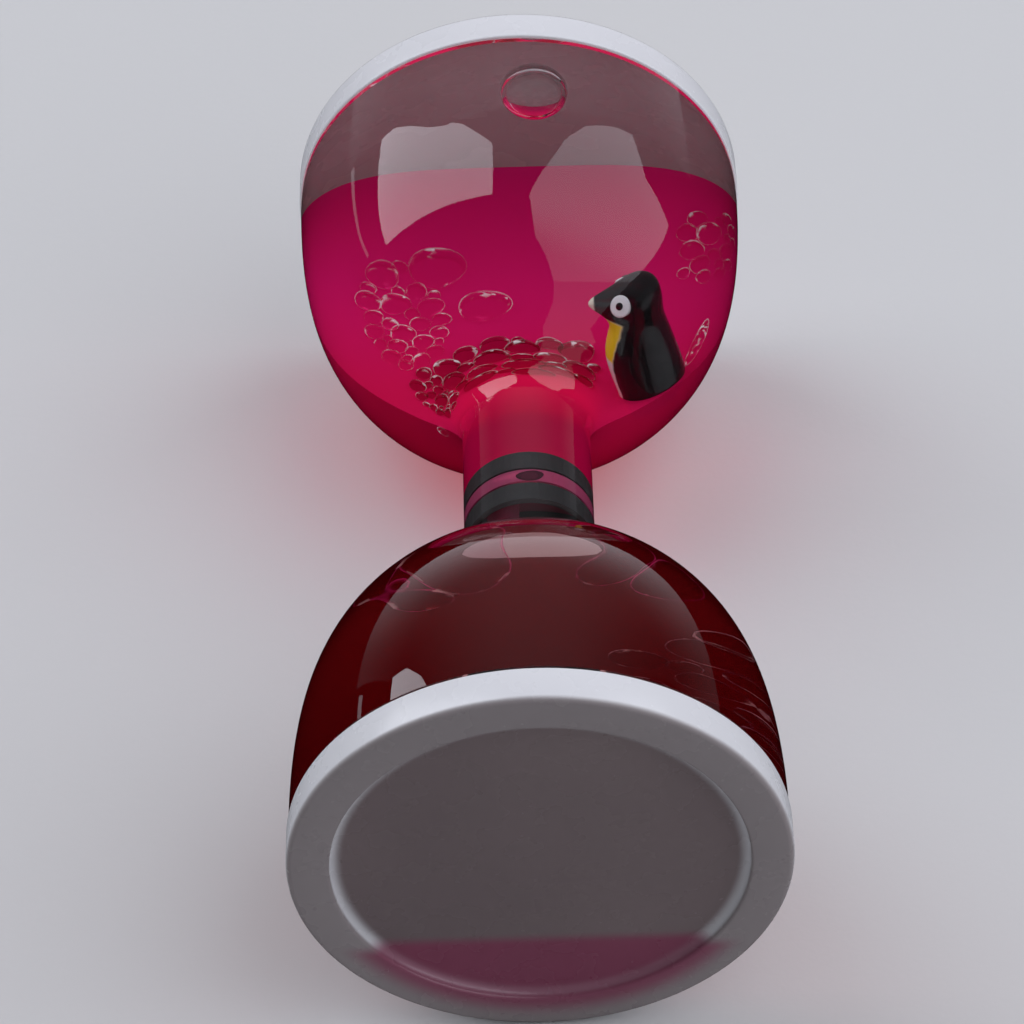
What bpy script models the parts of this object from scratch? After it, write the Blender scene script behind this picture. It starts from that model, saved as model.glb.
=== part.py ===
"""Liquid motion timer: two clear bulbs on one axis, filled with oil and dyed water, with a penguin afloat.

The timer lies on its side on the rims of its two end caps. Its axis runs along Y, the near cap faces -Y,
and the origin is on the surface, midway along. Lengths along the axis are measured from that middle.
"""

import math

import bmesh
import bpy
from mathutils import Matrix, Vector
from mathutils.geometry import interpolate_bezier

# Overall sizes
LENGTH = 0.112
CAP_D = 0.055

# End caps
CAP_RIM = 0.0045  # height of the rim that shows beyond the bulb
CAP_FACE = 0.0047  # width of the raised ring round the recess
CAP_RECESS = 0.0012
CAP_DISC = 0.0012  # thickness of the recessed disc
CAP_EDGE = 0.0006  # rounding of the rim
CAP_WALL = 0.0009  # the rim where it covers the bulb's end

# Bulbs
BULB_D = 0.0546
BULB_WALL = 0.0018
NECK_D = 0.0152
NECK_OUT = 0.0105  # where the neck opens into the shoulder
SHOULDER_D = 0.0258  # where the shoulder turns from hollow to round
SHOULDER_OUT = 0.0165
SHOULDER_ANGLE = math.radians(55.6)  # from the axis
BARREL_FULLNESS = 0.57  # how far each curve follows its end's direction, as a share of the curve's reach
SHOULDER_FULLNESS = 0.92
THROAT_FULLNESS = 0.6

# Neck joint
JOINT_OUT = 0.00235  # the joint's middle lies this far towards the near bulb
DIVIDER_FLANGE = 0.0018
SEAL_WIDTH = 0.0026
SPIGOT_LENGTH = 0.0017
SPIGOT_WALL = 0.0014
SLEEVE_WALL = 0.0021
NOZZLE_D = 0.0022
NOZZLE_BORE = 0.0009
NOZZLE_LENGTH = 0.0035
NOZZLE_CLEAR = 0.0010  # between each nozzle and the bore

# Liquids, as heights above the surface that the timer lies on
FAR_LEVEL = 0.0240
NEAR_LEVEL = 0.0143
LEVEL_GAP = 0.0003
BUBBLE_D = 0.0080
BUBBLE_OUT = 0.0440
BUBBLE_DEPTH = 0.0026  # its middle below the top of the oil

# Penguin
PENGUIN_HEIGHT = 0.0190
PENGUIN_DEPTH = 0.0116  # from belly to tail
PENGUIN_WIDTH = 0.0082  # across the flanks
PENGUIN_DRAUGHT = 0.0034  # how deep it floats
PENGUIN_CLEAR = 0.0007  # between it and the bulb's wall
PENGUIN_OUT = 0.0256
BEAK_LENGTH = 0.0026
BEAK_D = 0.0024

FIT_GAP = 0.0003  # between pieces that fit together
STEPS = 48  # flats round every turned piece, one of them underneath

AXIS_HEIGHT = CAP_D / 2
HALF = LENGTH / 2
MOUTH = HALF - CAP_RIM - FIT_GAP  # the open end of each bulb
CAP_INSIDE = HALF - CAP_RECESS - CAP_DISC  # the inner face of the disc
BULB_END_R = CAP_D / 2 - CAP_WALL - FIT_GAP
SPIGOT_R = NECK_D / 2 - SLEEVE_WALL - FIT_GAP
BORE_R = SPIGOT_R - SPIGOT_WALL
NOZZLE_OFF = BORE_R - NOZZLE_CLEAR - NOZZLE_D / 2
FLAT = 1 / math.cos(math.pi / STEPS)  # corner radius of a turned piece for one of its flats
NEAR = -1
FAR = 1


def clear_scene():
    for obj in list(bpy.data.objects):
        bpy.data.objects.remove(obj, do_unlink=True)


def new_collection(name):
    collection = bpy.data.collections.new(name)
    bpy.context.scene.collection.children.link(collection)
    return collection


def material(name, color, roughness, alpha=1.0, transmission=0.0):
    """A plain Principled finish in the part's own colour."""
    made = bpy.data.materials.new(name)
    made.use_nodes = True
    shader = made.node_tree.nodes["Principled BSDF"]
    shader.inputs["Base Color"].default_value = (*color, 1.0)
    shader.inputs["Roughness"].default_value = roughness
    shader.inputs["Metallic"].default_value = 0.0
    shader.inputs["Alpha"].default_value = alpha
    shader.inputs["Transmission Weight"].default_value = transmission
    made.diffuse_color = (*color, alpha)
    return made


def as_mesh(obj):
    """Turns the object's modifiers into its mesh, shaded smooth between sharp edges."""
    bpy.context.view_layer.update()
    graph = bpy.context.evaluated_depsgraph_get()
    mesh = bpy.data.meshes.new_from_object(obj.evaluated_get(graph))
    obj.modifiers.clear()
    obj.data = mesh
    mesh.shade_smooth()
    mesh.set_sharp_from_angle(angle=math.radians(30))


def turned(name, outline, side, collection):
    """Spins an outline about the timer's axis, towards one end.

    The outline holds (radius, distance out from the middle) pairs and runs inwards down its outer side.
    """
    half_step = math.pi / STEPS
    mesh = bpy.data.meshes.new(name)
    corners = []
    for radius, out in outline:
        corners.append((radius * FLAT * math.cos(half_step), radius * FLAT * math.sin(half_step), out))
    count = len(corners)
    is_ring = outline[0][0] > 0
    edges = [(i, (i + 1) % count) for i in range(count if is_ring else count - 1)]
    mesh.from_pydata(corners, edges, [])
    obj = bpy.data.objects.new(name, mesh)
    collection.objects.link(obj)
    obj.location = (0, 0, AXIS_HEIGHT)
    obj.rotation_euler = (-side * math.pi / 2, 0, 0)
    screw = obj.modifiers.new("spin", "SCREW")
    screw.steps = STEPS
    screw.render_steps = STEPS
    screw.use_merge_vertices = True
    screw.merge_threshold = 1e-6
    as_mesh(obj)
    return obj


def boolean(obj, cutter, operation):
    """Cuts or joins with a Boolean, and keeps the other shape as a hidden helper."""
    cutter.hide_render = True
    cutter.display_type = "WIRE"
    step = obj.modifiers.new(cutter.name, "BOOLEAN")
    step.operation = operation
    step.object = cutter
    as_mesh(obj)


def from_bmesh(name, shape, collection):
    """Makes an object of a bmesh."""
    mesh = bpy.data.meshes.new(name)
    shape.to_mesh(mesh)
    shape.free()
    obj = bpy.data.objects.new(name, mesh)
    collection.objects.link(obj)
    return obj


def block(name, low, high):
    """A box between two corners."""
    shape = bmesh.new()
    bmesh.ops.create_cube(shape, size=1.0)
    size = [b - a for a, b in zip(low, high)]
    middle = [(a + b) / 2 for a, b in zip(low, high)]
    bmesh.ops.scale(shape, vec=size, verts=shape.verts)
    bmesh.ops.translate(shape, vec=middle, verts=shape.verts)
    return from_bmesh(name, shape, cutters)


def rod(name, radius, start, end, x, segments=20):
    """A round rod parallel to the timer's axis, beside it by x."""
    shape = bmesh.new()
    bmesh.ops.create_cone(
        shape, cap_ends=True, segments=segments, radius1=radius, radius2=radius, depth=abs(end - start)
    )
    bmesh.ops.rotate(shape, matrix=Matrix.Rotation(math.pi / 2, 3, "X"), verts=shape.verts)
    bmesh.ops.translate(shape, vec=(x, (start + end) / 2, AXIS_HEIGHT), verts=shape.verts)
    return from_bmesh(name, shape, cutters)


# ---- bulbs ----


def dome():
    """The bulb's outer line from its mouth to its neck: a barrel curve, then a hollow one into the neck."""
    lean = Vector((math.sin(SHOULDER_ANGLE), math.cos(SHOULDER_ANGLE)))
    mouth = Vector((BULB_D / 2, MOUTH))
    shoulder = Vector((SHOULDER_D / 2, SHOULDER_OUT))
    neck = Vector((NECK_D / 2, NECK_OUT))
    barrel_pull = Vector((0, (mouth.y - shoulder.y) * BARREL_FULLNESS))
    shoulder_pull = lean * (mouth.x - shoulder.x) * SHOULDER_FULLNESS
    throat_pull = (shoulder.y - neck.y) * THROAT_FULLNESS
    barrel = interpolate_bezier(mouth, mouth - barrel_pull, shoulder + shoulder_pull, shoulder, 15)
    throat = interpolate_bezier(
        shoulder, shoulder - lean * throat_pull, neck + Vector((0, throat_pull)), neck, 7
    )
    return barrel[:-1] + throat


def inset(line, distance):
    """The line moved in towards the axis, square to itself."""
    moved = []
    for index, point in enumerate(line):
        before = line[max(index - 1, 0)]
        after = line[min(index + 1, len(line) - 1)]
        along = (after - before).normalized()
        moved.append(point + Vector((along.y, -along.x)) * distance)
    return moved


def neck_end(side):
    """Where the bulb's neck meets the sleeve, as a distance out from the middle."""
    return spigot_end(side) + SPIGOT_LENGTH + FIT_GAP


def spigot_end(side):
    """Where the bulb's spigot stops short of its seal."""
    return DIVIDER_FLANGE / 2 + SEAL_WIDTH + 2 * FIT_GAP - side * JOINT_OUT


def make_bulb(name, side):
    """A clear moulded bulb: its stepped mouth enters the cap's rim, and its spigot enters the sleeve."""
    outer = dome()
    inner = inset(outer, BULB_WALL)
    inner[-1].x = NECK_D / 2 - BULB_WALL
    step = neck_end(side)
    end = spigot_end(side)
    end_of_wall = CAP_INSIDE - FIT_GAP
    line = [(BULB_END_R, end_of_wall), (BULB_END_R, MOUTH)]
    line += [tuple(point) for point in outer]
    line += [(NECK_D / 2, step), (SPIGOT_R, step), (SPIGOT_R, end), (BORE_R, end)]
    line += [(BORE_R, step + BULB_WALL), (NECK_D / 2 - BULB_WALL, step + BULB_WALL)]
    line += [tuple(point) for point in reversed(inner)]
    line.append((inner[0].x, end_of_wall))
    return turned(name, line, side, parts)


# ---- end caps ----


def make_cap(name, side):
    """A milky end cap in one moulding: raised ring, recessed disc, and a rim that covers the bulb's end."""
    radius = CAP_D / 2
    recess_r = radius - CAP_FACE
    inside_r = radius - CAP_WALL
    floor = HALF - CAP_RECESS
    seat = HALF - CAP_RIM
    line = [(0, floor), (recess_r, floor), (recess_r, HALF - CAP_EDGE / 2), (recess_r + CAP_EDGE / 2, HALF)]
    for index in range(4):
        turn = index / 3 * math.pi / 2
        line.append(
            (radius - CAP_EDGE + CAP_EDGE * math.sin(turn), HALF - CAP_EDGE + CAP_EDGE * math.cos(turn))
        )
    line += [(radius, seat + CAP_EDGE / 2), (radius - CAP_EDGE / 2, seat)]
    line += [(inside_r, seat), (inside_r, CAP_INSIDE), (0, CAP_INSIDE)]
    return turned(name, line, side, parts)


# ---- neck joint ----


def tube(name, outer_r, inner_r, start, end):
    """A plain ring on the timer's axis between two places along it, start the nearer to the near cap."""
    return turned(name, [(outer_r, end), (outer_r, start), (inner_r, start), (inner_r, end)], FAR, parts)


def make_divider():
    """The drip divider: a flange across the bore, with one nozzle towards each bulb."""
    middle = -JOINT_OUT
    half = DIVIDER_FLANGE / 2
    flange = [(0, middle + half), (SPIGOT_R, middle + half), (SPIGOT_R, middle - half), (0, middle - half)]
    divider = turned("drip_divider", flange, FAR, parts)
    for side, label in ((NEAR, "near"), (FAR, "far")):
        tip = middle + side * (half + NOZZLE_LENGTH)
        x = side * NOZZLE_OFF
        boolean(divider, rod(f"nozzle_{label}", NOZZLE_D / 2, middle, tip, x), "UNION")
        behind = middle - side * (half + FIT_GAP)
        through = rod(f"nozzle_bore_{label}", NOZZLE_BORE / 2, behind, tip + side * FIT_GAP, x, 12)
        boolean(divider, through, "DIFFERENCE")
    return divider


# ---- penguin ----


def wall_radius(out):
    """The radius of the bulb's inner wall at a distance out from the middle."""
    wall = inset(dome(), BULB_WALL)
    for further, nearer in zip(wall, wall[1:]):
        if nearer.y <= out <= further.y:
            share = (out - nearer.y) / (further.y - nearer.y)
            return nearer.x + share * (further.x - nearer.x)
    return wall[0].x


def room_beside(point):
    """How far a point can move towards +X before it comes within the penguin's clearance of the wall."""
    reach = wall_radius(point.y) - PENGUIN_CLEAR
    return math.sqrt(reach**2 - (point.z - AXIS_HEIGHT) ** 2) - point.x


def penguin_rings(grow):
    """The penguin's body as rings of unlike ovals from foot to crown; grow makes it larger all round."""
    base = FAR_LEVEL - PENGUIN_DRAUGHT
    # height, front, back and half width, as shares of the height, the depth and the width
    shares = [
        (0.00, -0.42, 0.38, 0.42),
        (0.06, -0.47, 0.44, 0.47),
        (0.17, -0.50, 0.50, 0.50),
        (0.30, -0.47, 0.44, 0.49),
        (0.44, -0.40, 0.38, 0.45),
        (0.55, -0.32, 0.30, 0.38),
        (0.63, -0.27, 0.24, 0.34),
        (0.72, -0.27, 0.26, 0.36),
        (0.81, -0.26, 0.29, 0.38),
        (0.90, -0.17, 0.27, 0.33),
        (0.96, -0.06, 0.22, 0.23),
        (1.00, 0.04, 0.13, 0.08),
    ]
    sides = 24
    rings = []
    for index, (height, front, back, half_width) in enumerate(shares):
        z = base + height * PENGUIN_HEIGHT
        z += grow if index == len(shares) - 1 else -grow if index == 0 else 0
        middle = (front + back) / 2 * PENGUIN_DEPTH
        half_depth = (back - front) / 2 * PENGUIN_DEPTH + grow
        half_wide = half_width * PENGUIN_WIDTH + grow
        ring = []
        for step in range(sides):
            turn = step / sides * math.tau
            x = middle + half_depth * math.cos(turn)
            y = PENGUIN_OUT + half_wide * math.sin(turn)
            ring.append(Vector((x, y, z)))
        rings.append(ring)
    return rings


def penguin_shape(name, grow, collection):
    """The penguin beside the bulb's wall, its body joined with its beak."""
    place_x = min(room_beside(point) for ring in penguin_rings(0.0) for point in ring)
    shape = bmesh.new()
    loops = []
    for ring in penguin_rings(grow):
        loops.append([shape.verts.new(point + Vector((place_x, 0, 0))) for point in ring])
    for lower, upper in zip(loops, loops[1:]):
        for step in range(len(lower)):
            ahead = (step + 1) % len(lower)
            shape.faces.new((lower[step], lower[ahead], upper[ahead], upper[step]))
    shape.faces.new(reversed(loops[0]))
    shape.faces.new(loops[-1])
    penguin = from_bmesh(name, shape, collection)
    beak = bmesh.new()
    root = place_x - 0.20 * PENGUIN_DEPTH
    tip = place_x - 0.27 * PENGUIN_DEPTH - BEAK_LENGTH
    length = root - tip + grow
    bmesh.ops.create_cone(
        beak, cap_ends=True, segments=16, radius1=BEAK_D / 2 + grow, radius2=0.0003 + grow, depth=length
    )
    bmesh.ops.rotate(beak, matrix=Matrix.Rotation(-math.pi / 2, 3, "Y"), verts=beak.verts)
    height = FAR_LEVEL - PENGUIN_DRAUGHT + 0.78 * PENGUIN_HEIGHT
    bmesh.ops.translate(beak, vec=((root + tip - grow) / 2, PENGUIN_OUT, height), verts=beak.verts)
    boolean(penguin, from_bmesh(f"{name}_beak", beak, cutters), "UNION")
    return penguin


# ---- liquids ----


def make_liquid(name, side, level, is_dye):
    """What fills one bulb below or above its level: the bulb's inside, cut at that height."""
    clear = BULB_WALL + FIT_GAP
    floor = CAP_INSIDE - FIT_GAP
    wall = inset(dome(), clear)
    wall[-1].x = NECK_D / 2 - clear
    step = neck_end(side) + clear
    tip = DIVIDER_FLANGE / 2 + NOZZLE_LENGTH + FIT_GAP - side * JOINT_OUT
    line = [(0, floor), (wall[0].x, floor)]
    line += [tuple(point) for point in wall]
    line += [(NECK_D / 2 - clear, step), (BORE_R - FIT_GAP, step), (BORE_R - FIT_GAP, tip), (0, tip)]
    liquid = turned(name, line, side, parts)
    surface = level - LEVEL_GAP / 2 if is_dye else level + LEVEL_GAP / 2
    low = -0.01 if is_dye else surface
    high = surface if is_dye else CAP_D + 0.01
    half = block(f"{name}_half", (-CAP_D, -LENGTH, low), (CAP_D, LENGTH, high))
    boolean(liquid, half, "INTERSECT")
    return liquid


def make_bubble():
    """The hollow that the air bubble leaves at the top of the oil."""
    shape = bmesh.new()
    bmesh.ops.create_uvsphere(shape, u_segments=20, v_segments=12, radius=BUBBLE_D / 2)
    top = CAP_D - (CAP_D - BULB_D) / 2 - BULB_WALL - FIT_GAP
    bmesh.ops.translate(shape, vec=(0, BUBBLE_OUT, top - BUBBLE_DEPTH), verts=shape.verts)
    return from_bmesh("air_bubble", shape, cutters)


def paint(obj, finish):
    obj.data.materials.clear()
    obj.data.materials.append(finish)


clear_scene()
parts = new_collection("liquid_timer")
cutters = new_collection("cutters")

clear_plastic = material("clear_acrylic", (0.93, 0.95, 0.96), 0.03, 0.25, 1.0)
milky_plastic = material("milky_white", (0.82, 0.83, 0.86), 0.25)
seal_rubber = material("seal_rubber", (0.03, 0.03, 0.033), 0.45)
dye = material("pink_dye", (0.60, 0.01, 0.10), 0.05, 0.6, 1.0)
oil = material("clear_oil", (0.90, 0.86, 0.88), 0.03, 0.15, 1.0)
penguin_black = material("penguin_paint", (0.012, 0.012, 0.013), 0.15)

for label, facing in (("near", NEAR), ("far", FAR)):
    paint(make_cap(f"{label}_cap", facing), milky_plastic)
    paint(make_bulb(f"{label}_bulb", facing), clear_plastic)

far_seal = DIVIDER_FLANGE / 2 + FIT_GAP - JOINT_OUT
near_seal = -DIVIDER_FLANGE / 2 - FIT_GAP - JOINT_OUT
paint(tube("far_seal", SPIGOT_R, BORE_R, far_seal, far_seal + SEAL_WIDTH), seal_rubber)
paint(tube("near_seal", SPIGOT_R, BORE_R, near_seal - SEAL_WIDTH, near_seal), seal_rubber)
sleeve_start = FIT_GAP - neck_end(NEAR)
sleeve_end = neck_end(FAR) - FIT_GAP
paint(tube("neck_sleeve", NECK_D / 2, NECK_D / 2 - SLEEVE_WALL, sleeve_start, sleeve_end), clear_plastic)
paint(make_divider(), clear_plastic)

penguin_float = penguin_shape("penguin_float", 0.0, parts)
paint(penguin_float, penguin_black)
penguin_room = penguin_shape("penguin_room", FIT_GAP, cutters)

paint(make_liquid("near_dye", NEAR, NEAR_LEVEL, True), dye)
paint(make_liquid("near_oil", NEAR, NEAR_LEVEL, False), oil)
far_dye = make_liquid("far_dye", FAR, FAR_LEVEL, True)
far_oil = make_liquid("far_oil", FAR, FAR_LEVEL, False)
boolean(far_dye, penguin_room, "DIFFERENCE")
boolean(far_oil, penguin_room, "DIFFERENCE")
boolean(far_oil, make_bubble(), "DIFFERENCE")
paint(far_dye, dye)
paint(far_oil, oil)
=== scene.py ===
"""Liquid motion timer on its side: two clear bulbs, pink dye under clear oil, and a penguin afloat."""

import math
import random

import bmesh
import bpy
from mathutils import Matrix, Vector
from mathutils.geometry import interpolate_bezier


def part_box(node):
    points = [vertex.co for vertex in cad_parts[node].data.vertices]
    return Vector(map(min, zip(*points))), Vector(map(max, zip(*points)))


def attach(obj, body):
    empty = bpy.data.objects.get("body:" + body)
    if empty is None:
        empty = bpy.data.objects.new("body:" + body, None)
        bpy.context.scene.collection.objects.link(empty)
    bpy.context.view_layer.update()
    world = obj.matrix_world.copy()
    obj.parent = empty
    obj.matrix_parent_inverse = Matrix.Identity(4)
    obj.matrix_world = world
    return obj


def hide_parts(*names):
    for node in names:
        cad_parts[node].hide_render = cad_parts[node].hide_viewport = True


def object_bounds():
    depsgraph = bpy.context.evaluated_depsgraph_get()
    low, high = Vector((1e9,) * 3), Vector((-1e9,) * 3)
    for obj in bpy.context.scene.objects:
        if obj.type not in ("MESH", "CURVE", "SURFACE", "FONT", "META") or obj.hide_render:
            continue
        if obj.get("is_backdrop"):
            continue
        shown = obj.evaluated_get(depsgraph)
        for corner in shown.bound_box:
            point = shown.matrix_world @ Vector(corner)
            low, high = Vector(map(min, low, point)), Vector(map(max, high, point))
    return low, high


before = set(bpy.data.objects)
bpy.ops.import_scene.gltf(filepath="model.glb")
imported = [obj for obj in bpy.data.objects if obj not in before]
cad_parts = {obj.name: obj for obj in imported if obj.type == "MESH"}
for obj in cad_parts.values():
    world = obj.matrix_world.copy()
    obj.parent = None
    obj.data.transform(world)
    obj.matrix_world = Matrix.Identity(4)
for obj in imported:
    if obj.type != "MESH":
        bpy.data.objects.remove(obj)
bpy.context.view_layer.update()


# ---- camera ----
# A long lens looks down over the near end and along the timer, with the far bulb behind. It stands a little
# off level and a little to the left of the axis.

CAMERA_PLACE = (-0.0031, -0.3472, 0.3820)
CAMERA_TURN = -0.0033
CAMERA_DIP = 0.7989
CAMERA_ROLL = -0.0243

lens = bpy.data.cameras.new("camera")
lens.lens = 148.9
lens.sensor_width = 36
lens.clip_start = 0.01
lens.clip_end = 20
camera = bpy.data.objects.new("camera", lens)
bpy.context.scene.collection.objects.link(camera)
turn = Matrix.Rotation(CAMERA_TURN, 4, "Z")
tip = Matrix.Rotation(math.pi / 2 - CAMERA_DIP, 4, "X")
roll = Matrix.Rotation(CAMERA_ROLL, 4, "Z")
camera.matrix_world = Matrix.Translation(CAMERA_PLACE) @ turn @ tip @ roll
bpy.context.scene.camera = camera
bpy.context.scene.view_settings.view_transform = "Standard"
bpy.context.scene.cycles.transparent_max_bounces = 32
bpy.context.scene.cycles.max_bounces = 20
bpy.context.scene.cycles.transmission_bounces = 20


# ---- floor ----
# A round table top with a pale matt covering, which sweeps up all round into a low wall.
# The covering has the faint mottling of painted board.

FLOOR_R = 1.2
SWEEP_R = 0.35
SWEEP_STEPS = 8
WALL_TOP = 0.6
FLOOR_DROP = 0.0001
PALE_BOARD = ((0.68, 0.68, 0.68), (0.72, 0.717, 0.715))


def add_object(name, shape, finishes, sharp=35):
    """Makes a smooth-shaded object of a bmesh, with sharp edges where it turns by more than an angle."""
    mesh = bpy.data.meshes.new(name)
    shape.to_mesh(mesh)
    shape.free()
    mesh.shade_smooth()
    mesh.set_sharp_from_angle(angle=math.radians(sharp))
    for finish in finishes:
        mesh.materials.append(finish)
    made = bpy.data.objects.new(name, mesh)
    bpy.context.scene.collection.objects.link(made)
    return made


def spin(outline, sides, is_ring=False):
    """Carries an outline of (radius, height) pairs round Z; a ring's outline closes on itself."""
    shape = bmesh.new()
    turns = [step / sides * math.tau for step in range(sides)]
    loops = []
    for radius, height in outline:
        if radius < 1e-7:
            loops.append([shape.verts.new((0, 0, height))])
            continue
        loops.append([shape.verts.new((radius * math.cos(t), radius * math.sin(t), height)) for t in turns])
    following = loops[1:] + loops[:1] if is_ring else loops[1:]
    for first, second in zip(loops, following):
        for step in range(sides):
            ahead = step + 1
            corners = [first[step % len(first)], first[ahead % len(first)]]
            corners += [second[ahead % len(second)], second[step % len(second)]]
            shape.faces.new(list(dict.fromkeys(corners)))
    bmesh.ops.recalc_face_normals(shape, faces=shape.faces)
    return shape


class Field:
    """A shader socket that Python's operators work on, each adding the node that does the sum."""

    def __init__(self, finish, socket):
        self.finish = finish
        self.socket = socket

    def sum_of(self, operation, first, second):
        return self.finish.node("ShaderNodeMath", {"operation": operation}, {0: first, 1: second})

    def __add__(self, other):
        return self.sum_of("ADD", self, other)

    __radd__ = __add__

    def __sub__(self, other):
        return self.sum_of("SUBTRACT", self, other)

    def __rsub__(self, other):
        return self.sum_of("SUBTRACT", other, self)

    def __mul__(self, other):
        return self.sum_of("MULTIPLY", self, other)

    __rmul__ = __mul__

    def __truediv__(self, other):
        return self.sum_of("DIVIDE", self, other)

    def __rtruediv__(self, other):
        return self.sum_of("DIVIDE", other, self)

    def __pow__(self, other):
        return self.sum_of("POWER", self, other)


class Finish:
    """One material and its nodes."""

    def __init__(self, name):
        self.material = bpy.data.materials.new(name)
        self.material.use_nodes = True
        self.tree = self.material.node_tree
        self.tree.nodes.clear()

    def node(self, kind, settings, inputs, output=0):
        """Adds a node, sets it, joins or fills its sockets, and gives back one of its outputs."""
        node = self.tree.nodes.new(kind)
        for name, value in settings.items():
            if name == "stops":
                while len(node.color_ramp.elements) < len(value):
                    node.color_ramp.elements.new(0.5)
                for element, (position, color) in zip(node.color_ramp.elements, value):
                    element.position = position
                    element.color = (*color, 1)
            else:
                setattr(node, name, value)
        for name, value in inputs.items():
            if isinstance(value, Field):
                self.tree.links.new(value.socket, node.inputs[name])
            else:
                node.inputs[name].default_value = value
        return Field(self, node.outputs[output]) if node.outputs else None

    def place(self):
        """The point on the object, in its own metres."""
        return self.node("ShaderNodeTexCoord", {}, {}, "Object")

    def part_of(self, vector, axis):
        return self.node("ShaderNodeSeparateXYZ", {}, {0: vector}, axis)

    def soft_step(self, value, start, end):
        """0 before start, 1 after end, and smooth between them."""
        inputs = {"Value": value, "From Min": start, "From Max": end}
        return self.node("ShaderNodeMapRange", {"interpolation_type": "SMOOTHSTEP"}, inputs)

    def noise(self, vector, scale, detail=3.0, roughness=0.5):
        inputs = {"Vector": vector, "Scale": scale, "Detail": detail, "Roughness": roughness}
        return self.node("ShaderNodeTexNoise", {}, inputs, 0)

    def blend(self, mask, first, second):
        """The first colour where the mask is 0, and the second where it is 1."""
        first = first if isinstance(first, Field) else (*first, 1)
        second = second if isinstance(second, Field) else (*second, 1)
        return self.node("ShaderNodeMix", {"data_type": "RGBA"}, {0: mask, 6: first, 7: second}, 2)

    def bump(self, height, strength, distance):
        inputs = {"Height": height, "Strength": strength, "Distance": distance}
        return self.node("ShaderNodeBump", {}, inputs)

    def surface(self, inputs):
        return self.node("ShaderNodeBsdfPrincipled", {}, inputs)

    def done(self, surface, volume=None):
        inputs = {"Surface": surface}
        if volume is not None:
            inputs["Volume"] = volume
        self.node("ShaderNodeOutputMaterial", {}, inputs)
        return self.material


def board_finish():
    board = Finish("pale_board")
    mottle = board.noise(board.place(), 9.0, 4.0)
    grain = board.noise(board.place(), 900.0, 2.0)
    inputs = {
        "Base Color": board.blend(mottle, *PALE_BOARD),
        "Roughness": 0.7,
        "Specular IOR Level": 0.25,
        "Normal": board.bump(grain, 0.05, 0.0005),
    }
    return board.done(board.surface(inputs))


sweep = [(0, 0), (FLOOR_R / 3, 0), (FLOOR_R * 0.75, 0), (FLOOR_R, 0)]
for step in range(1, SWEEP_STEPS + 1):
    angle = step / SWEEP_STEPS * math.pi / 2
    sweep.append((FLOOR_R + SWEEP_R * math.sin(angle), SWEEP_R - SWEEP_R * math.cos(angle)))
sweep.append((FLOOR_R + SWEEP_R, WALL_TOP))
floor_shape = spin(sweep, 96)
bmesh.ops.translate(floor_shape, vec=(0, 0, -FLOOR_DROP), verts=floor_shape.verts)
floor = add_object("floor", floor_shape, [board_finish()])
if floor.data.polygons[0].normal.z < 0:
    floor.data.flip_normals()
floor.visible_glossy = False
floor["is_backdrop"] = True


# ---- lights ----
# Two large softboxes stand left and right and lean over the timer. A smaller one stands in front, a lit
# strip at the far left, and a tall white screen glows behind. The room itself is dim.

MM = 0.001
PANEL_DISTANCE = 0.8
PANEL_WHITE = (0.95, 0.965, 1.04, 1)
LEFT_MIDDLE = (-12, 35, 50)
RIGHT_MIDDLE = (8, 24, 44)
BEHIND_MIDDLE = (0, 20, 45)
ROOM_COLOR = (0.9, 0.95, 1.0, 1)
ROOM_STRENGTH = 0.16


def softbox(name, middle, corners, strength, shine, fades=()):
    """A glowing panel whose corners lie in the given directions, as azimuth from +Y and elevation.

    The directions are seen from a middle in millimetres. Shine is how much brighter the panel's
    reflections are than the light that it gives. Each fade is an axis, where it starts and ends, and the
    share that is left.
    """
    shape = bmesh.new()
    points = []
    for azimuth, elevation in corners:
        a = math.radians(azimuth)
        e = math.radians(elevation)
        direction = Vector((math.sin(a) * math.cos(e), math.cos(a) * math.cos(e), math.sin(e)))
        points.append(shape.verts.new(Vector(middle) * MM + direction * PANEL_DISTANCE))
    hub = shape.verts.new(sum((point.co for point in points), Vector()) / len(points))
    for first, second in zip(points, points[1:] + points[:1]):
        shape.faces.new((hub, first, second))
    cloth = Finish(f"{name}_cloth")
    mirrored = cloth.node("ShaderNodeLightPath", {}, {}, "Is Glossy Ray")
    glow, gleam, unlit = (
        cloth.node("ShaderNodeEmission", {}, {"Color": PANEL_WHITE, "Strength": given})
        for given in (strength, strength * shine, 0.0)
    )
    surface = cloth.node("ShaderNodeMixShader", {}, {0: mirrored, 1: glow, 2: gleam})
    for axis, start, end, share in fades:
        faded = cloth.soft_step(cloth.part_of(cloth.place(), axis), start, end)
        surface = cloth.node("ShaderNodeMixShader", {}, {0: faded * (1 - share), 1: surface, 2: unlit})
    panel = add_object(name, shape, [cloth.done(surface)])
    panel.visible_camera = False
    panel.visible_transmission = False
    panel.visible_shadow = False
    panel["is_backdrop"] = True


left_corners = [(-48, 14.6), (-45.3, 21), (-44, 29), (-42.4, 36.4), (-34.2, 49.6), (-25.4, 65.4)]
left_corners += [(-54, 76), (-116, 76), (-95.4, 44), (-91.7, 16)]
softbox("softbox_left", LEFT_MIDDLE, left_corners, 2.3, 1.65)
seam = [(118, 13), (159.5, 35)]
right_corners = [(60, 79), (45, 69), (38.8, 57.7), (40.4, 46.2), (45.5, 35.5), (49.7, 26.3), (65.6, 24.7)]
right_corners += [(78.8, 10.7), (89.4, 11.7), *seam, (162, 47.7), (167, 58), (148, 82)]
softbox("softbox_right", RIGHT_MIDDLE, right_corners, 1.65, 1.2, [("Y", -0.1, -0.5, 0.5)])
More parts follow.
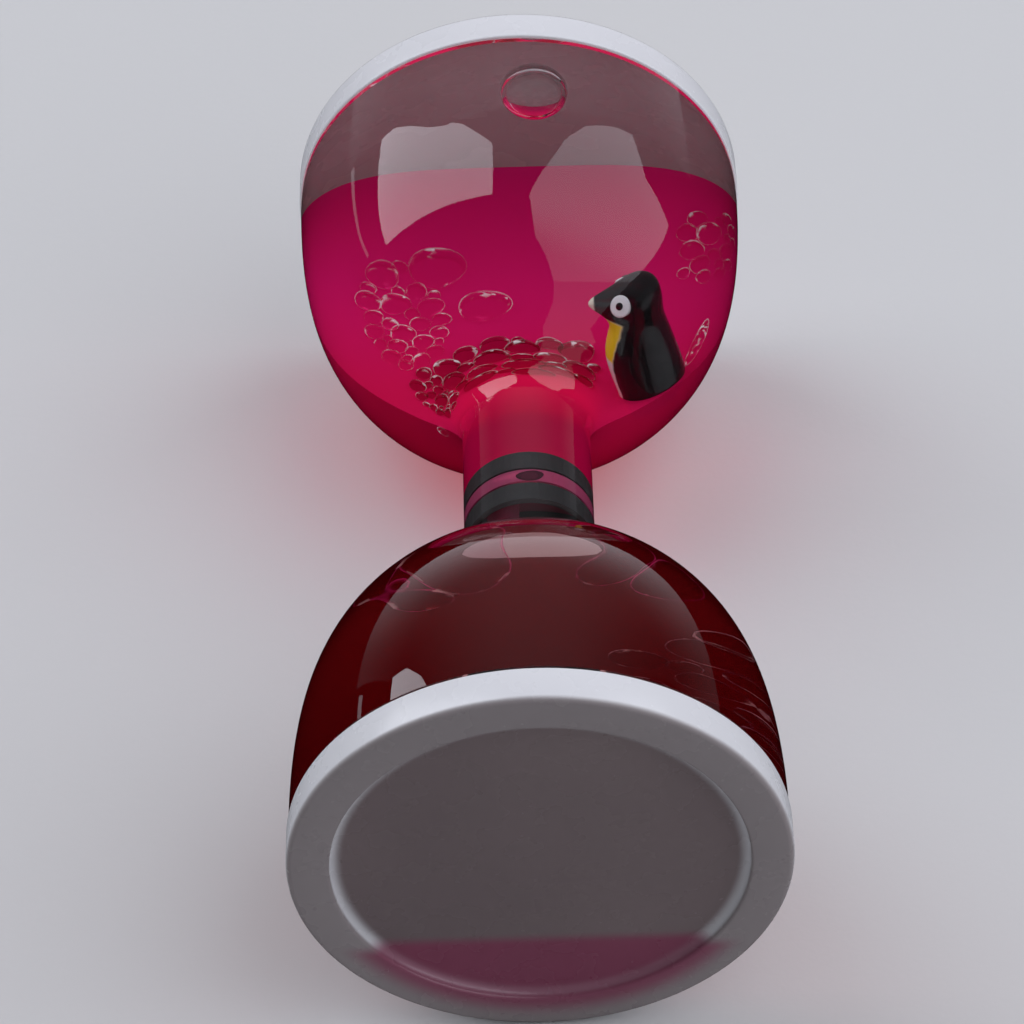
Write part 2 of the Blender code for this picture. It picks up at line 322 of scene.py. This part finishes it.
front_corners = [(131, 11.8), (140.7, 9), (138, 1), (168, 1), (168, 20.8), (160.8, 28)]
softbox("softbox_front", RIGHT_MIDDLE, [seam[0], *front_corners, seam[1]], 0.5, 1.0)
screen_corners = [(-50, -3), (-49.5, 13), (-46.5, 20), (-44, 36), (-40, 43)]
screen_corners += [(-30, 49), (0, 54), (28, 49), (37, 43), (43, 34), (47, 25), (52, 12), (54, -3)]
screen_fades = [("Z", 0.02, 0.3, 0.25), ("X", 0.05, 0.6, 0.1), ("X", -0.05, -0.6, 0.1)]
softbox("screen_behind", BEHIND_MIDDLE, screen_corners, 1.2, 0.9, screen_fades)
strip_corners = [(-51, -1), (-51, 1), (-65, 3), (-85, 5), (-85, 3.5), (-65, 1.5)]
softbox("strip_left", BEHIND_MIDDLE, strip_corners, 0.5, 2.0)

world = bpy.data.worlds.new("room")
world.use_nodes = True
world.node_tree.nodes["Background"].inputs["Color"].default_value = ROOM_COLOR
world.node_tree.nodes["Background"].inputs["Strength"].default_value = ROOM_STRENGTH
bpy.context.scene.world = world
world.cycles_visibility.glossy = False


# ---- end caps ----
# Each end is one thin moulding of milky plastic, glued over the bulb: a rim, a flat ring to stand on, and a
# recessed disc. The plastic lets a little light through, so that the dye behind the near disc shows pink.

low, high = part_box("near_cap")
AXIS_HEIGHT = (low.z + high.z) / 2
CAP_R = (high.z - low.z) / 2
HALF = -low.y
CAP_SEAT = -high.y
RECESS_DEPTH = 1.2 * MM
RING_WIDTH = 4.7 * MM
CAP_WALL = 0.9 * MM
CAP_INSIDE = HALF - 2.4 * MM
RIM_WHITE = ((0.81, 0.81, 0.84), (0.83, 0.83, 0.857))
# The disc's grey is partly the thinner plastic with the dark inside behind it, and partly painted shade.
DISC_GREY_AND_PAINTED_SHADE = ((0.17, 0.130, 0.137), (0.28, 0.222, 0.222))
# The ring face's grey is painted shade: the same white plastic as the rim, on a face turned from the lamps.
RING_PAINTED_SHADE = (0.34, 0.30, 0.305)
# Painted shade on the cap's inside face, where the bulb's end covers it.
BURIED_PAINTED_SHADE = ((0.31, 0.285, 0.29), (0.35, 0.315, 0.32))
NEAR_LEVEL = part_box("near_dye")[1].z
FAR_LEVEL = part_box("far_dye")[1].z


def arc(radius, out, size, start, end, steps):
    """Points round part of a circle in an outline, with angles in degrees from straight out."""
    points = []
    for step in range(steps + 1):
        angle = math.radians(start + (end - start) * step / steps)
        points.append((radius + size * math.sin(angle), out + size * math.cos(angle)))
    return points


def lay_down(shape, side):
    """Turns a shape spun about Z onto the timer's axis, so that its height runs out from the middle."""
    bmesh.ops.rotate(shape, matrix=Matrix.Rotation(-side * math.pi / 2, 3, "X"), verts=shape.verts)
    bmesh.ops.translate(shape, vec=(0, 0, AXIS_HEIGHT), verts=shape.verts)
    return shape


def cap_outline():
    """The cap's section, from the middle of its face round the rim to the middle of its inside."""
    disc = HALF - RECESS_DEPTH
    recess = CAP_R - RING_WIDTH
    root = 0.8 * MM
    lip = 0.35 * MM
    shoulder = 0.7 * MM
    skirt = 0.25 * MM
    line = [(0, disc), (8 * MM, disc), (16 * MM, disc)]
    line += arc(recess - root, disc + root, root, 180, 90, 6)
    line += arc(recess + lip, HALF - lip, lip, -90, 0, 4)
    line += arc(CAP_R - shoulder, HALF - shoulder, shoulder, 0, 90, 7)
    line += arc(CAP_R - skirt, CAP_SEAT + skirt, skirt, 90, 180, 4)
    line += [(CAP_R - CAP_WALL, CAP_SEAT), (CAP_R - CAP_WALL, CAP_INSIDE)]
    line += [(16 * MM, CAP_INSIDE), (8 * MM, CAP_INSIDE), (0, CAP_INSIDE)]
    return line


def milky_finish(name, level, dye_color):
    """White on the rim; painted shade greys the ring's face and the disc, which the thinner plastic greys
    further; painted shade on the inside face under the bulb's end; tinted where dye lies behind the plastic.
    """
    milky = Finish(name)
    place = milky.place()
    x = milky.part_of(place, "X")
    y = milky.part_of(place, "Y")
    z = milky.part_of(place, "Z")
    radius = (x * x + (z - AXIS_HEIGHT) * (z - AXIS_HEIGHT)) ** 0.5
    cloud = milky.noise(place, 30.0, 1.0)
    rim = milky.blend(cloud, *RIM_WHITE)
    disc = milky.blend(cloud, *DISC_GREY_AND_PAINTED_SHADE)
    thin = milky.soft_step(radius, CAP_R - 4.4 * MM, CAP_R - 6.2 * MM)
    out = milky.node("ShaderNodeMath", {"operation": "ABSOLUTE"}, {0: y})
    ring = milky.soft_step(out, HALF - 0.75 * MM, HALF - 0.1 * MM)
    # Painted shade greys the ring's face and, together with the thinner plastic, the disc.
    color = milky.blend(ring, rim, RING_PAINTED_SHADE)
    color = milky.blend(thin, color, disc)
    wet = 1 - milky.soft_step(z, level - 1.2 * MM, level + 1.0 * MM)
    behind = milky.soft_step(radius, CAP_R - 1.0 * MM, CAP_R - 4.5 * MM)
    color = milky.blend(wet * behind * 0.85, color, dye_color)
    inside = milky.soft_step(out, CAP_INSIDE + 0.6 * MM, CAP_INSIDE + 0.2 * MM)
    # Painted shade on the inside face under the bulb's end.
    buried_shade = inside * milky.soft_step(radius, CAP_R - 0.7 * MM, CAP_R - 0.8 * MM)
    color = milky.blend(buried_shade, color, milky.blend(cloud, *BURIED_PAINTED_SHADE))
    inputs = {
        "Base Color": color,
        "Roughness": milky.noise(place, 240.0) * 0.14 + 0.2,
        "IOR": 1.49,
        "Normal": milky.bump(milky.noise(place, 260.0, 1.0), 0.02, 0.0004),
    }
    return milky.done(milky.surface(inputs))


# The near cap's dye tint is darker than the far cap's: painted shade.
near_milky = milky_finish("milky_white_near", NEAR_LEVEL, (0.29, 0.055, 0.12))
far_milky = milky_finish("milky_white_far", FAR_LEVEL, (0.50, 0.10, 0.22))
for name, side, finish in (("near_cap", -1, near_milky), ("far_cap", 1, far_milky)):
    shape = lay_down(spin(cap_outline(), 160), side)
    cap = add_object(f"{name}_moulding", shape, [finish])
    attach(cap, "timer")
    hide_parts(name)


# ---- bulbs ----
# Two clear moulded bulbs, filled to the brim with clear oil, which bends light as the plastic does, so that
# wall and oil look like one lens. Each has a stepped end inside its cap and a plain neck.

BULB_R = 27.3 * MM
GLUE_GAP = 0.3 * MM
BULB_END_R = CAP_R - CAP_WALL - GLUE_GAP
BULB_END = CAP_INSIDE + 0.1 * MM
MOUTH = CAP_SEAT - GLUE_GAP
SHOULDER_R = 12.9 * MM
SHOULDER_OUT = 16.5 * MM
SHOULDER_SLOPE = 55.6
NECK_R = 7.6 * MM
NECK_OUT = 10.5 * MM
SLEEVE_LOW, SLEEVE_HIGH = (corner.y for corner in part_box("neck_sleeve"))
CLEAR_BEND = 1.48


def bulb_line(steps):
    """The bulb's outer line from its mouth to its neck."""
    slope = math.radians(SHOULDER_SLOPE)
    lean = Vector((math.sin(slope), math.cos(slope)))
    mouth = Vector((BULB_R, MOUTH))
    shoulder = Vector((SHOULDER_R, SHOULDER_OUT))
    neck = Vector((NECK_R, NECK_OUT))
    barrel_pull = Vector((0, (mouth.y - shoulder.y) * 0.57))
    shoulder_pull = lean * (mouth.x - shoulder.x) * 0.92
    throat_pull = (shoulder.y - neck.y) * 0.6
    barrel = interpolate_bezier(mouth, mouth - barrel_pull, shoulder + shoulder_pull, shoulder, steps)
    throat = interpolate_bezier(
        shoulder, shoulder - lean * throat_pull, neck + Vector((0, throat_pull)), neck, steps // 3
    )
    return barrel[:-1] + throat


def clear_finish(name, tints, ior, dimming=None, milkiness=0.0, ripple=0.0, shade=None):
    """A see-through finish that lets lamps shine into it.

    Ior is how much it bends light, against what it lies in. Dimming is the colour and strength of a liquid's
    dye, or of painted shade in the near oil, and shade changes the tint from place to place, painting shade
    on the far dye.
    """
    clear = Finish(name)
    place = clear.place()
    tint = clear.blend(clear.noise(place, 60.0), *tints)
    inputs = {
        "Base Color": shade(clear, tint) if shade else tint,
        "Roughness": 0.0,
        "IOR": ior,
        "Transmission Weight": 1.0 - milkiness,
    }
    if ripple:
        inputs["Normal"] = clear.bump(clear.noise(place, 130.0, 1.0), ripple, 0.001)
    glass = clear.surface(inputs)
    passing = clear.node("ShaderNodeBsdfTransparent", {}, {"Color": (0.97, 0.97, 0.97, 1)})
    is_lamp = clear.node("ShaderNodeLightPath", {}, {}, "Is Shadow Ray")
    surface = clear.node("ShaderNodeMixShader", {}, {0: is_lamp, 1: glass, 2: passing})
    volume = None
    if dimming:
        color, density = dimming
        volume = clear.node("ShaderNodeVolumeAbsorption", {}, {"Color": (*color, 1), "Density": density})
    return clear.done(surface, volume)


def open_finish():
    """Where two clear pieces are glued face to face, light goes straight through."""
    glued = Finish("glued_face")
    faint = glued.blend(glued.noise(glued.place(), 300.0), (0.985, 0.98, 0.985), (1, 1, 1))
    inputs = {"Base Color": faint, "Alpha": 0.0, "Roughness": 0.1}
    return glued.done(glued.surface(inputs))


oil_clear = ((1.0, 0.99, 0.99), (0.985, 0.98, 0.985))
# The near oil's dark red dimming is painted shade; the same oil in the far bulb stays clear.
near_oil_painted_shade = ((0.60, 0.06, 0.04), 24.0)
far_clear = clear_finish("clear_acrylic_far", oil_clear, CLEAR_BEND)
near_clear = clear_finish("clear_acrylic_near", oil_clear, CLEAR_BEND, near_oil_painted_shade)
glued_face = open_finish()
sleeve_ends = {-1: -SLEEVE_LOW, 1: SLEEVE_HIGH}
for name, side, finish in (("near", -1, near_clear), ("far", 1, far_clear)):
    line = [(0, BULB_END), (BULB_END_R, BULB_END), (BULB_END_R, MOUTH)]
    line += [tuple(point) for point in bulb_line(36)]
    line += [(NECK_R, sleeve_ends[side]), (0, sleeve_ends[side])]
    bulb = add_object(f"{name}_bulb_with_oil", lay_down(spin(line, 160), side), [finish, glued_face])
    for face in bulb.data.polygons:
        if abs(face.center.y - side * sleeve_ends[side]) < 1e-6:
            face.material_index = 1
    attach(bulb, "timer")
    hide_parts(f"{name}_bulb", f"{name}_oil")


# ---- dye ----
# Dyed water, heavier than the oil, lies along the bottom of each bulb and a little way into the neck.
# The drops in it make it slightly milky.

WALL = 1.8 * MM
DYE_END = CAP_INSIDE + 0.05 * MM
DYE_OVERLAP = 0.2 * MM
INNER_BEND = 1.03
THROAT_RED = (0.97, 0.010, 0.085)
# Painted shade colours for the far dye: beside the seals, and on its right side.
SEAL_PAINTED_SHADE = (0.46, 0.004, 0.065)
RIGHT_PAINTED_SHADE = (0.42, 0.004, 0.07)


def liquid(name, side, level, finish):
    """What lies below a level inside a bulb's wall."""
    outer = bulb_line(30)
    line = [(0, DYE_END)]
    for index, point in enumerate(outer):
        before = outer[max(index - 1, 0)]
        after = outer[min(index + 1, len(outer) - 1)]
        along = (after - before).normalized()
        moved = point + Vector((along.y, -along.x)) * WALL
        if not index:
            line.append((moved.x, DYE_END))
        line.append((moved.x, moved.y))
    end = sleeve_ends[side] + DYE_OVERLAP
    line += [(NECK_R - WALL, 8 * MM), (NECK_R - WALL, end), (0, end)]
    shape = lay_down(spin(line, 128), side)
    bulk = shape.verts[:] + shape.edges[:] + shape.faces[:]
    bmesh.ops.bisect_plane(
        shape, geom=bulk, dist=1e-7, plane_co=(0, 0, level), plane_no=(0, 0, 1), clear_outer=True
    )
    rim = [edge for edge in shape.edges if edge.is_boundary]
    bmesh.ops.contextual_create(shape, geom=rim)
    bmesh.ops.recalc_face_normals(shape, faces=shape.faces)
    made = add_object(name, shape, [finish])
    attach(made, "timer")
    return made


def far_tint_and_painted_shade(dye, tint):
    """The far dye is redder towards the throat, with painted shade beside the black seals and on its right
    side.
    """
    x = dye.part_of(dye.place(), "X")
    y = dye.part_of(dye.place(), "Y")
    tint = dye.blend(dye.soft_step(y, 44 * MM, 22 * MM) * 0.7, tint, THROAT_RED)
    # Painted shade beside the seals, then on the right side.
    tint = dye.blend(dye.soft_step(y, 20 * MM, 11 * MM), tint, SEAL_PAINTED_SHADE)
    return dye.blend(dye.soft_step(x, 8 * MM, 26 * MM) * 0.75, tint, RIGHT_PAINTED_SHADE)


pink = clear_finish(
    "pink_dye_far",
    ((0.95, 0.014, 0.17), (0.88, 0.012, 0.21)),
    INNER_BEND,
    dimming=((0.98, 0.04, 0.46), 260.0),
    milkiness=0.57,
    ripple=0.02,
    shade=far_tint_and_painted_shade,
)
# The near dye is the same pink dye painted much darker: painted shade, as the near bulb gets less light.
near_shaded_dye = clear_finish(
    "pink_dye_near_painted_shade",
    ((0.30, 0.015, 0.02), (0.24, 0.01, 0.02)),
    INNER_BEND,
    dimming=((0.55, 0.05, 0.10), 180.0),
    milkiness=0.35,
    ripple=0.02,
)
for name, side, level, finish in (("near_dye", -1, NEAR_LEVEL, near_shaded_dye), ("far_dye", 1, FAR_LEVEL, pink)):
    made = liquid(f"{name}_pool", side, level, finish)
    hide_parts(name)


# ---- neck ----
# A clear sleeve joins the two necks. Inside it two black rubber rings press on either side of the clear
# divider, whose two small nozzles let the drops pass.

rubber = Finish("seal_rubber_fine")
place = rubber.place()
inputs = {
    "Base Color": rubber.blend(rubber.noise(place, 700.0), (0.006, 0.006, 0.007), (0.02, 0.019, 0.02)),
    "Roughness": rubber.noise(place, 500.0) * 0.2 + 0.4,
    "Normal": rubber.bump(rubber.noise(place, 1500.0), 0.2, 0.0002),
}
rubber_finish = rubber.done(rubber.surface(inputs))
for name in ("near_seal", "far_seal"):
    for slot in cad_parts[name].material_slots:
        slot.material = rubber_finish

divider_tints = ((0.62, 0.12, 0.24), (0.52, 0.08, 0.2))
divider_finish = clear_finish("clear_divider", divider_tints, INNER_BEND, milkiness=0.4, ripple=0.05)
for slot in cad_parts["drip_divider"].material_slots:
    slot.material = divider_finish

sleeve_finish = clear_finish("clear_sleeve", oil_clear, CLEAR_BEND)
line = [(0, SLEEVE_LOW), (NECK_R, SLEEVE_LOW), (NECK_R, SLEEVE_HIGH), (0, SLEEVE_HIGH)]
sleeve = add_object("neck_sleeve_clear", lay_down(spin(line, 128), 1), [sleeve_finish, glued_face])
for face in sleeve.data.polygons:
    if abs(face.normal.y) > 0.9:
        face.material_index = 1
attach(sleeve, "timer")
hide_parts("neck_sleeve")


# ---- penguin ----
# A hollow moulded float, painted gloss black, with a white belly, a yellow bib, a cream tip to its beak and
# white-ringed eyes. It rides low in the dye beside the far bulb's wall, facing across the timer.

penguin_low, penguin_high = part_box("penguin_float")
PENGUIN_H = penguin_high.z - penguin_low.z
PENGUIN_Y = (penguin_low.y + penguin_high.y) / 2
PENGUIN_X = penguin_high.x - 5.8 * MM
BODY_DEEP = 11.6 * MM
BODY_WIDE = 8.2 * MM
BEAK_AT = 0.768
BEAK_SPREAD = 0.072
BEAK_LONG = 3.1 * MM


def penguin_skin():
    """The body as rings of ovals from foot to crown, with the face drawn out into the beak."""
    # height, front, back and half width, as shares of PENGUIN_H, BODY_DEEP twice and BODY_WIDE
    rings = [
        (0.00, -0.16, 0.32, 0.36),
        (0.03, -0.22, 0.40, 0.44),
        (0.09, -0.25, 0.46, 0.47),
        (0.17, -0.29, 0.49, 0.48),
        (0.30, -0.35, 0.43, 0.47),
        (0.44, -0.38, 0.37, 0.44),
        (0.55, -0.32, 0.325, 0.39),
        (0.63, -0.27, 0.29, 0.365),
        (0.69, -0.26, 0.28, 0.36),
        (0.75, -0.26, 0.29, 0.37),
        (0.81, -0.25, 0.29, 0.37),
        (0.865, -0.21, 0.28, 0.34),
        (0.905, -0.14, 0.25, 0.28),
        (0.93, -0.06, 0.20, 0.19),
        (0.943, 0.01, 0.13, 0.09),
    ]
    shape = bmesh.new()
    loops = []
    sides = 32
    for height, front, back, half_width in rings:
        loop = []
        for step in range(sides):
            turn = step / sides * math.tau
            x = (front + back) / 2 * BODY_DEEP + (back - front) / 2 * BODY_DEEP * math.cos(turn)
            y = half_width * BODY_WIDE * math.sin(turn)
            z = penguin_low.z + height * PENGUIN_H
            facing = max(0.0, -math.cos(turn))
            near_beak = math.exp(-(((height - BEAK_AT) / BEAK_SPREAD) ** 2))
            x -= near_beak * facing ** 5 * BEAK_LONG
            y *= 1 - 0.5 * near_beak * facing
            loop.append(shape.verts.new((PENGUIN_X + x, PENGUIN_Y + y, z)))
        loops.append(loop)
    for lower, upper in zip(loops, loops[1:]):
        for step in range(sides):
            ahead = (step + 1) % sides
            shape.faces.new((lower[step], lower[ahead], upper[ahead], upper[step]))
    for loop, height in ((loops[0], 0.0), (loops[-1], 0.945)):
        middle = sum((vert.co for vert in loop), Vector()) / sides
        middle.z = penguin_low.z + height * PENGUIN_H
        pole = shape.verts.new(middle)
        for step in range(sides):
            shape.faces.new((loop[step], loop[(step + 1) % sides], pole))
    bmesh.ops.recalc_face_normals(shape, faces=shape.faces)
    return shape


def penguin_finish():
    """Black, with a painted front and beak tip; x, y and z are millimetres from the middle of the foot."""
    paint = Finish("penguin_paint_coat")
    place = paint.place()
    x = (paint.part_of(place, "X") - PENGUIN_X) / MM
    y = (paint.part_of(place, "Y") - PENGUIN_Y) / MM
    z = (paint.part_of(place, "Z") - penguin_low.z) / MM
    wobble = (paint.noise(place, 500.0) - 0.5) * 0.6
    black = paint.blend(paint.noise(place, 400.0), (0.004, 0.004, 0.0045), (0.012, 0.011, 0.012))
    spread = 2.45 - (y * y + 0.0001) ** 0.5 + wobble
    front = paint.soft_step(x, -0.9, -1.3) * paint.soft_step(spread, -0.1, 0.2)
    belly = front * paint.soft_step(z, 13.2, 12.8)
    color = paint.blend(belly, black, (0.74, 0.74, 0.76))
    bib = belly * paint.soft_step(z + wobble, 7.6, 8.1)
    color = paint.blend(bib, color, (0.80, 0.60, 0.02))
    foot = front * paint.soft_step(z, 3.2, 2.6)
    color = paint.blend(foot, color, (0.55, 0.05, 0.30))
    tip = paint.soft_step(x, -4.6, -4.9) * paint.soft_step(z, 13.0, 13.4)
    color = paint.blend(tip, color, (0.85, 0.80, 0.66))
    inputs = {
        "Base Color": color,
        "Roughness": paint.noise(place, 300.0) * 0.1 + 0.12,
        "Specular IOR Level": 0.3,
        "Coat Weight": 0.2,
        "Coat Roughness": 0.06,
        "Normal": paint.bump(paint.noise(place, 260.0), 0.12, 0.0003),
    }
    return paint.done(paint.surface(inputs))


penguin = add_object("penguin_body", penguin_skin(), [penguin_finish()], 180)
smooth = penguin.modifiers.new("smooth", "SUBSURF")
smooth.levels = 2
smooth.render_levels = 2
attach(penguin, "penguin")
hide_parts("penguin_float")


def enamel(name, first, second):
    """A smooth paint between two close colours."""
    made = Finish(name)
    inputs = {
        "Base Color": made.blend(made.noise(made.place(), 900.0), first, second),
        "Roughness": 0.15,
        "Coat Weight": 0.4,
    }
    return made.done(made.surface(inputs))


eye_white = enamel("eye_white", (0.80, 0.80, 0.82), (0.70, 0.70, 0.73))
eye_black = enamel("eye_black", (0.004, 0.004, 0.005), (0.01, 0.01, 0.012))
EYE_TILT = 51
EYE_TURN = 20
eye_dots = (("ring", 1.3 * MM, 0.2 * MM, eye_white), ("pupil", 0.48 * MM, 0.4 * MM, eye_black))
for side, sink in ((-1, 0.0), (1, 0.5 * MM)):
    for label, radius, proud, finish in eye_dots:
        dot = [(0, 0.30 * MM), (radius * 0.6, 0.27 * MM), (radius * 0.9, 0.17 * MM)]
        dot += [(radius, 0), (radius * 0.9, -0.8 * MM), (0, -0.8 * MM)]
        shape = spin(dot, 24)
        raised = Matrix.Translation((0, 0, proud - sink))
        turned = Matrix.Rotation(-side * math.radians(EYE_TILT), 4, "X")
        leaned = Matrix.Rotation(side * math.radians(EYE_TURN), 4, "Z")
        eye_height = penguin_low.z + 0.845 * PENGUIN_H
        spot = Vector((PENGUIN_X - 1.35 * MM, PENGUIN_Y + side * 2.5 * MM, eye_height))
        set_in = Matrix.Translation(spot) @ leaned @ turned @ raised
        bmesh.ops.transform(shape, matrix=set_in, verts=shape.verts)
        eye = add_object(f"eye_{label}_{'right' if side < 0 else 'left'}", shape, [finish])
        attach(eye, "penguin")


# ---- air bubble ----
# One bubble of air was left when the timer was filled. It rests under the top of the far bulb's wall, which
# presses it flat above. Its faces look inwards, because the oil is the denser side.

BUBBLE_X = 1.9 * MM
BUBBLE_Y = 44.3 * MM
BUBBLE_Z = AXIS_HEIGHT + 23.3 * MM
BUBBLE_REACH = (3.9, 4.6)
BUBBLE_ABOVE = 1.9
BUBBLE_BELOW = 2.9

air = clear_finish("trapped_air", ((1, 1, 1), (0.99, 0.99, 1.0)), CLEAR_BEND)
shape = bmesh.new()
bmesh.ops.create_icosphere(shape, subdivisions=4, radius=1.0)
for vert in shape.verts:
    depth = BUBBLE_BELOW if vert.co.z < 0 else BUBBLE_ABOVE
    vert.co = Vector((vert.co.x * BUBBLE_REACH[0], vert.co.y * BUBBLE_REACH[1], vert.co.z * depth)) * MM
bmesh.ops.translate(shape, vec=(BUBBLE_X, BUBBLE_Y, BUBBLE_Z), verts=shape.verts)
bubble = add_object("air_bubble", shape, [air], 180)
bubble.data.flip_normals()
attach(bubble, "timer")


# ---- drops and foam ----
# Drops of oil that have not merged yet lie in rafts where the oil meets the dye. A pale line round each
# drop's edge is a painted reflection, with small painted white glints on it.

SEED = 7
TRIES = 60
PACKING = 0.9
NECK_DROP_AT = (0.2 * MM, -2.6 * MM, AXIS_HEIGHT + 5.5 * MM)
NECK_DROP_REACH = (1.5 * MM, 0.75 * MM, 0.45 * MM)
chance = random.Random(SEED)


def wall_radius(out):
    """The radius of a bulb's inner wall at a distance out from the middle."""
    line = bulb_line(30)
    for further, nearer in zip(line, line[1:]):
        if nearer.y <= out <= further.y:
            share = (out - nearer.y) / (further.y - nearer.y)
            return nearer.x + share * (further.x - nearer.x) - WALL
    return line[0].x - WALL


def add_drop(shape, middle, reach, segments=3):
    """A smooth oval drop, pressed a little out of round by its neighbours."""
    made = bmesh.ops.create_icosphere(shape, subdivisions=segments, radius=1.0)
    lean = chance.uniform(0, math.tau)
    for vert in made["verts"]:
        turn = math.atan2(vert.co.y, vert.co.x) - lean
        push = 1 + 0.07 * math.cos(2 * turn) + 0.05 * math.cos(3 * turn + lean)
        offset = Vector((vert.co.x * reach[0] * push, vert.co.y * reach[1] * push, vert.co.z * reach[2]))
        vert.co = Vector(middle) + offset


def raft(middle, spread, sizes, count, level, placed):
    """Scatters drops over an oval of the surface so that they just touch, the larger ones first."""
    for step in range(count):
        size = sizes[1] + (sizes[0] - sizes[1]) * (step / count) ** 0.6
        for attempt in range(TRIES):
            angle = chance.uniform(0, math.tau)
            reach = math.sqrt(chance.uniform(0, 1))
            x = middle[0] + spread[0] * reach * math.cos(angle)
            y = middle[1] + spread[1] * reach * math.sin(angle)
            room = wall_radius(abs(y) * MM) / MM - size
            if math.hypot(x, (level - AXIS_HEIGHT) / MM + size * 0.5) > room:
                continue
            if any(math.hypot(x - a, y - b) < PACKING * (size + c) for a, b, c in placed):
                continue
            placed.append((x, y, size))
            break


def drop_finish(name, thin, first, second, clear):
    """Clear in the middle, with a painted reflection as a pale line round the edge and painted glints; thin
    is how near the edge the line starts, up to 1.
    """
    skin = Finish(name)
    place = skin.place()
    facing = skin.node("ShaderNodeLayerWeight", {}, {"Blend": 0.5}, "Facing")
    patchy = skin.soft_step(skin.noise(place, 420.0), 0.4, 0.62)
    painted_glint = skin.soft_step(skin.noise(place, 1100.0, 1.0), 0.56, 0.66)
    line = skin.soft_step(facing, thin, thin + 0.35) * (0.12 + patchy * 0.6)
    painted_glint_line = skin.soft_step(facing, thin - 0.3, thin + 0.1) * painted_glint * patchy * 0.9
    line = skin.node("ShaderNodeMath", {"operation": "MAXIMUM"}, {0: line, 1: painted_glint_line})
    color = skin.blend(painted_glint, skin.blend(patchy, first, second), (1.0, 0.97, 0.98))
    inputs = {"Base Color": color, "Roughness": 0.12, "IOR": 1.3}
    edge_sheen_shader = skin.surface(inputs)
    middle = skin.node("ShaderNodeBsdfTransparent", {}, {"Color": (*clear, 1)})
    return skin.done(skin.node("ShaderNodeMixShader", {}, {0: line, 1: middle, 2: edge_sheen_shader}))


def add_raft(name, placed, level, finish, streaks=()):
    """One piece of a raft's drops, which float just proud of the dye."""
    shape = bmesh.new()
    for x, y, size in placed:
        middle = (x * MM, y * MM, level + size * 0.25 * MM)
        add_drop(shape, middle, (size * MM, size * MM, size * 0.5 * MM), 3 if size > 1.1 else 2)
    for middle, reach in streaks:
        add_drop(shape, middle, reach)
    made = add_object(name, shape, [finish], 180)
    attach(made, "timer")


taken = [((penguin_low.x + penguin_high.x) / 2 / MM, PENGUIN_Y / MM, 5.2)]
large = [(-6.5, 43.6, 2.2), (-3.0, 38.2, 2.1), (-10.8, 43.2, 1.4)]
raft((-9.8, 37.0), (3.6, 7.5), (0.5, 1.3), 40, FAR_LEVEL, large)
raft((15.0, 45.5), (3.2, 4.2), (0.5, 1.2), 18, FAR_LEVEL, large)
foam = taken + large
raft((-0.4, 28.0), (6.6, 5.2), (0.6, 1.7), 50, FAR_LEVEL, foam)
raft((-7.6, 25.0), (3.2, 4.4), (0.4, 1.1), 18, FAR_LEVEL, foam)
foam = foam[len(taken + large) :]
streaks = [
    ((17.4 * MM, 31.5 * MM, FAR_LEVEL + 0.3 * MM), (0.8 * MM, 4.6 * MM, 0.5 * MM)),
    ((-9.6 * MM, 16.6 * MM, FAR_LEVEL - 0.5 * MM), (0.7 * MM, 1.6 * MM, 0.5 * MM)),
]
# The pale edge colours of each raft are painted reflection.
pale_skin = drop_finish("drop_skin_far", 0.55, (0.75, 0.22, 0.36), (1.0, 0.88, 0.92), (0.97, 0.90, 0.92))
foam_skin = drop_finish("foam_skin_far", 0.55, (0.55, 0.16, 0.22), (1.0, 0.80, 0.84), (0.74, 0.58, 0.60))
add_raft("far_drops", large, FAR_LEVEL, pale_skin, streaks)
add_raft("far_foam", foam, FAR_LEVEL, foam_skin)

near_raft = []
raft((7.8, -31.0), (3.6, 6.0), (0.7, 1.4), 26, NEAR_LEVEL, near_raft)
lilac_skin = drop_finish("drop_skin_near", 0.5, (0.45, 0.20, 0.40), (1.0, 0.86, 1.0), (0.93, 0.88, 0.90))
add_raft("near_drops", near_raft, NEAR_LEVEL, lilac_skin)
near_shoulder = []
raft((-3.0, -20.6), (2.4, 1.6), (0.8, 1.7), 5, NEAR_LEVEL, near_shoulder)
raft((3.8, -20.8), (1.6, 1.2), (0.8, 1.3), 4, NEAR_LEVEL, near_shoulder)
magenta_edge = ((0.75, 0.03, 0.30), (1.0, 0.10, 0.50))
magenta_skin = drop_finish("drop_skin_shoulder", 0.45, *magenta_edge, (0.92, 0.85, 0.88))
add_raft("near_shoulder_drops", near_shoulder, NEAR_LEVEL, magenta_skin)

shape = bmesh.new()
add_drop(shape, NECK_DROP_AT, NECK_DROP_REACH)
# The drop's near-black tint is painted shade.
shaded_drop = clear_finish("neck_drop_painted_shade", ((0.05, 0.01, 0.02), (0.08, 0.01, 0.03)), 1.2, milkiness=0.5)
neck_drop = add_object("neck_drop", shape, [shaded_drop], 180)
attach(neck_drop, "timer")


low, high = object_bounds()
